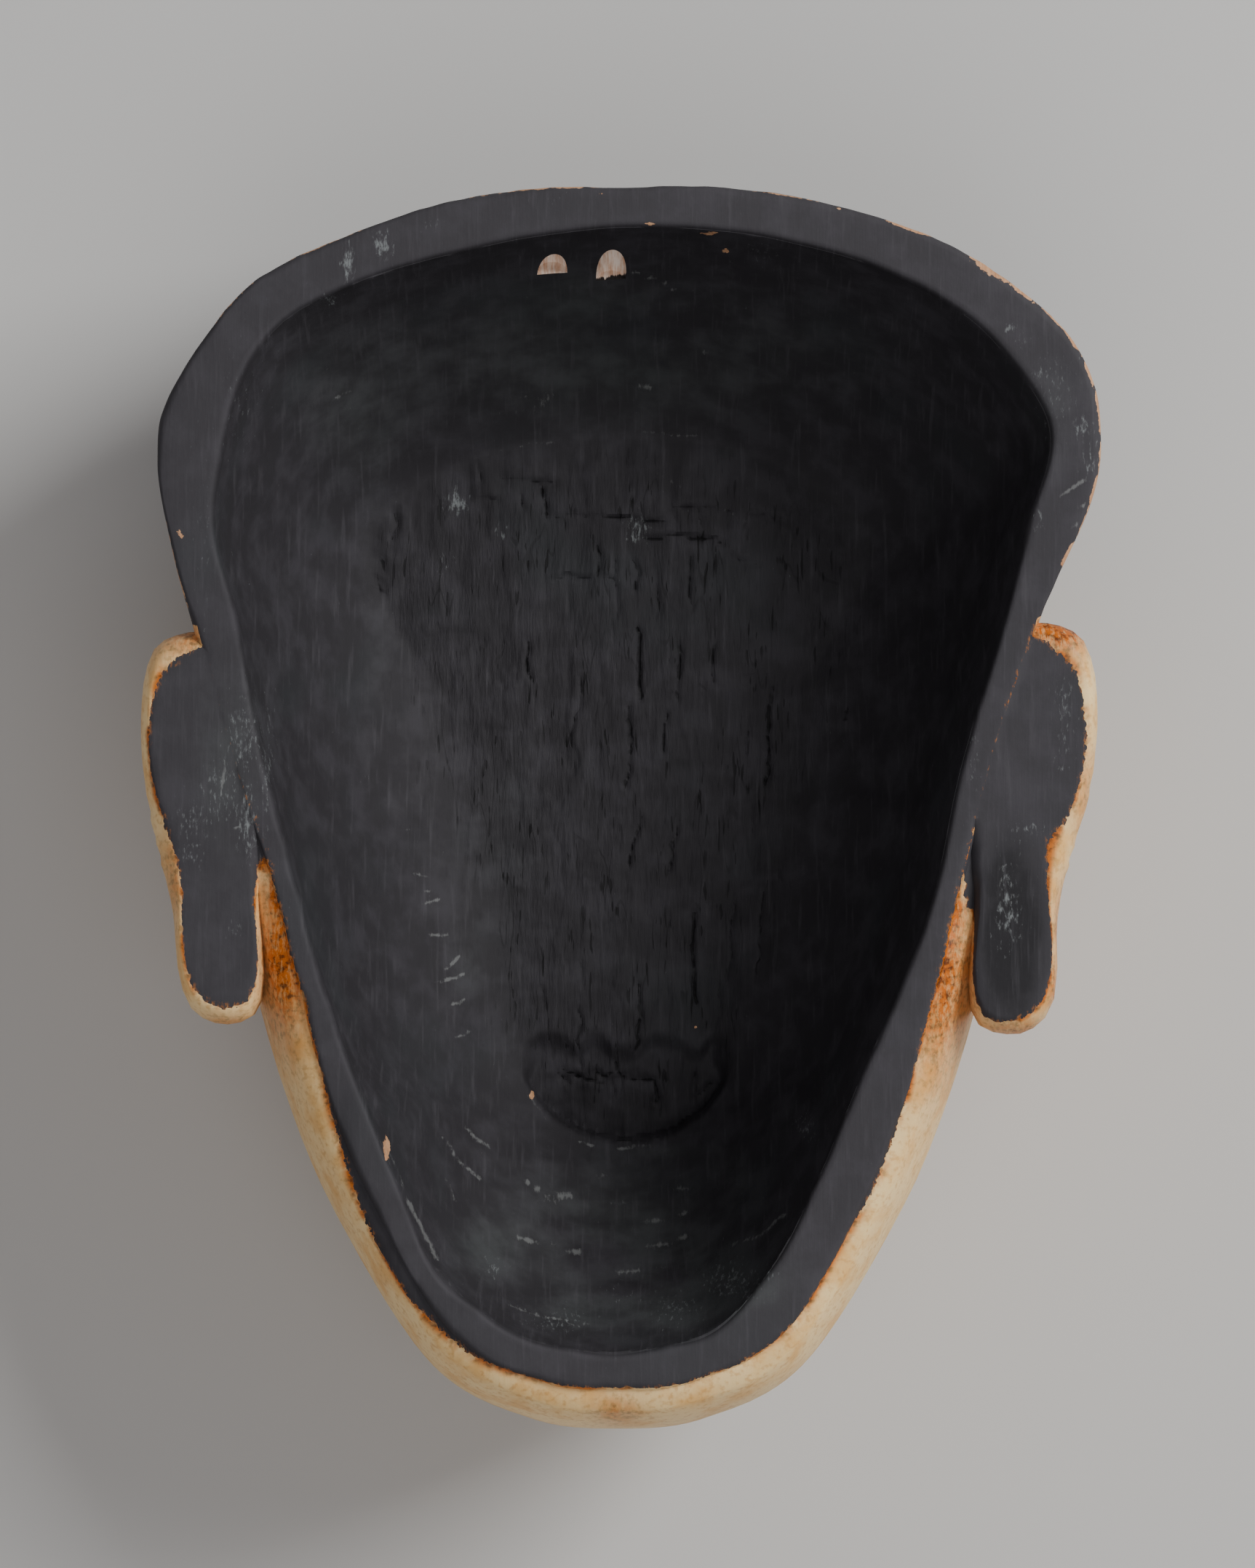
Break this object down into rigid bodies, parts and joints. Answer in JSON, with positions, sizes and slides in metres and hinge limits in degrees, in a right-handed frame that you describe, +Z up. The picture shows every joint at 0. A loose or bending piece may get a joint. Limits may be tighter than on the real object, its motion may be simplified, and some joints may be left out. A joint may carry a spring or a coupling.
{
  "type": "wooden wall mask",
  "caption": "Carved and painted wooden face mask with a hollow black back, long-lobed ears and two nail holes, lying on its face.",
  "frame": {"origin": "middle of the mask's box, on the surface that it lies on", "axes": "+Y towards the crown, +X to the right as one looks into the hollow back, +Z up, out of the hollow, away from the face"},
  "size_m": [0.2322, 0.3028, 0.115],
  "materials": {
    "painted_wood": "carved hardwood, flat black paint on back and hair, ivory paint with brown stain on face and ears"
  },
  "bodies": {
    "root": {"mask": "painted_wood"}
  },
  "joints": []
}
